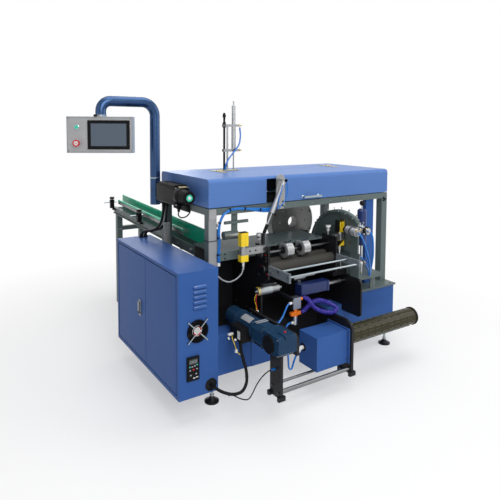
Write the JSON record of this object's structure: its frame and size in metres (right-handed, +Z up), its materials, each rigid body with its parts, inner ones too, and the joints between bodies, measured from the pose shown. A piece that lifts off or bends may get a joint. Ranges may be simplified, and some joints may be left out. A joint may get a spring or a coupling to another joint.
{
  "type": "roll wrapping machine",
  "caption": "Wrapping line machine with a lifting cover, a film unwinder mandrel, folding discs, an electric cabinet and an operator panel on a swivelling arm.",
  "frame": {"origin": "on the floor under the middle of the machine's footprint", "axes": "+X along the top cover away from the electric cabinet, +Y from the operator towards the rear conveyor, +Z up"},
  "size_m": [2, 2.3108, 1.682],
  "materials": {
    "aluminium": "satin anodised",
    "belt": "dark green belt",
    "black_paint": "black enamel, satin",
    "black_plastic": "black moulding",
    "blue_cover": "light blue enamel, satin",
    "blue_hose": "blue polyurethane tube",
    "blue_paint": "mid blue enamel, satin",
    "chrome": "polished",
    "dark_steel": "black oxide",
    "green_plastic": "green polyethylene",
    "grey_green": "grey-green enamel, satin",
    "olive": "olive brown lacquer, glossy",
    "panel_grey": "light grey enamel",
    "post_grey": "neutral grey enamel, satin",
    "purple_hose": "violet blue polyurethane tube",
    "red_plastic": "red moulding",
    "rubber": "black rubber",
    "screen": "dark glass front",
    "slate_blue": "slate blue machine enamel, semi gloss",
    "steel": "bright steel",
    "yellow_plastic": "yellow moulding"
  },
  "bodies": {
    "machine": {"air_hoses": "blue_hose", "air_valves": "steel", "back_wall": "grey_green", "base_housing": "blue_paint", "base_top_plate": "grey_green", "bay_panels": "black_paint", "blue_column": "blue_paint", "brake_box": "blue_paint", "cabinet_body": "blue_paint", "cables": "rubber", "carriage_rods": "chrome", "coiled_hose": "purple_hose", "conveyor_belt": "belt", "conveyor_frame": "grey_green", "conveyor_guards": "green_plastic", "conveyor_legs": "grey_green", "cover_rear": "blue_cover", "cylinder_plate": "aluminium", "draw_rollers": "dark_steel", "drive_keypad": "black_plastic", "fan_housing": "black_plastic", "feed_drive": "dark_steel", "fold_disc": "grey_green", "frame_posts": "post_grey", "guard_clamps": "dark_steel", "guide_brackets": "aluminium", "guide_rods": "chrome", "hinge_fixed_leaves": "steel", "levelling_feet": "dark_steel", "oil_cups": "aluminium", "pole_socket": "panel_grey", "push_cylinder": "slate_blue", "ring_disc": "grey_green", "roller_motor": "steel", "sensors": "yellow_plastic", "side_plates": "black_paint", "standing_cylinder": "steel", "steel_brackets": "steel", "table_plate": "steel", "terminal_box": "black_plastic", "tie_bars": "steel", "tilted_cylinder": "steel", "top_rails": "grey_green", "unwinder_gearmotor": "slate_blue", "unwinder_plates": "black_paint"},
    "front_door": {"cabinet_door_front": "blue_paint"},
    "rear_door": {"cabinet_door_rear": "blue_paint", "door_lock": "black_plastic"},
    "cover_lid_body": {"cover_lid": "blue_cover", "lid_handle": "chrome", "hinge_lid_leaves": "steel"},
    "panel_arm_body": {"panel_arm": "panel_grey"},
    "panel_body": {"panel_housing": "panel_grey", "panel_screen": "screen", "panel_buttons": "red_plastic"},
    "mandrel_body": {"mandrel": "olive"},
    "press_shaft_body": {"press_wheels": "steel"},
    "fan_body": {"fan_rotor": "black_plastic"}
  },
  "joints": [
    {"name": "rear_door_hinge", "type": "hinge", "parent": "machine", "child": "rear_door", "pos_m": [-0.68097, 0.03958, 0.46], "axis": [0, 0, -1], "range_deg": [0, 110]},
    {"name": "front_door_hinge", "type": "hinge", "parent": "machine", "child": "front_door", "pos_m": [-0.68097, -0.81042, 0.46], "axis": [0, 0, 1], "range_deg": [0, 110]},
    {"name": "cover_lid_hinge", "type": "hinge", "parent": "machine", "child": "cover_lid_body", "pos_m": [0.29003, -0.24042, 1.217], "axis": [-1, 0, 0], "range_deg": [0, 80]},
    {"name": "panel_arm_swivel", "type": "hinge", "parent": "machine", "child": "panel_arm_body", "pos_m": [-0.47797, -0.04542, 1.185], "axis": [0, 0, 1], "range_deg": [-60, 45]},
    {"name": "panel_swivel", "type": "hinge", "parent": "panel_arm_body", "child": "panel_body", "pos_m": [-0.81797, -0.04542, 1.55], "axis": [0, 0, 1], "range_deg": [-60, 60]},
    {"name": "mandrel_spin", "type": "hinge", "parent": "machine", "child": "mandrel_body", "pos_m": [0.31003, -0.92042, 0.27], "axis": [1, 0, 0], "continuous": true},
    {"name": "press_shaft_spin", "type": "hinge", "parent": "machine", "child": "press_shaft_body", "pos_m": [0.16003, -0.69542, 0.773], "axis": [1, 0, 0], "continuous": true},
    {"name": "fan_spin", "type": "hinge", "parent": "machine", "child": "fan_body", "pos_m": [-0.58697, -0.83142, 0.479], "axis": [0, 1, 0], "continuous": true}
  ]
}
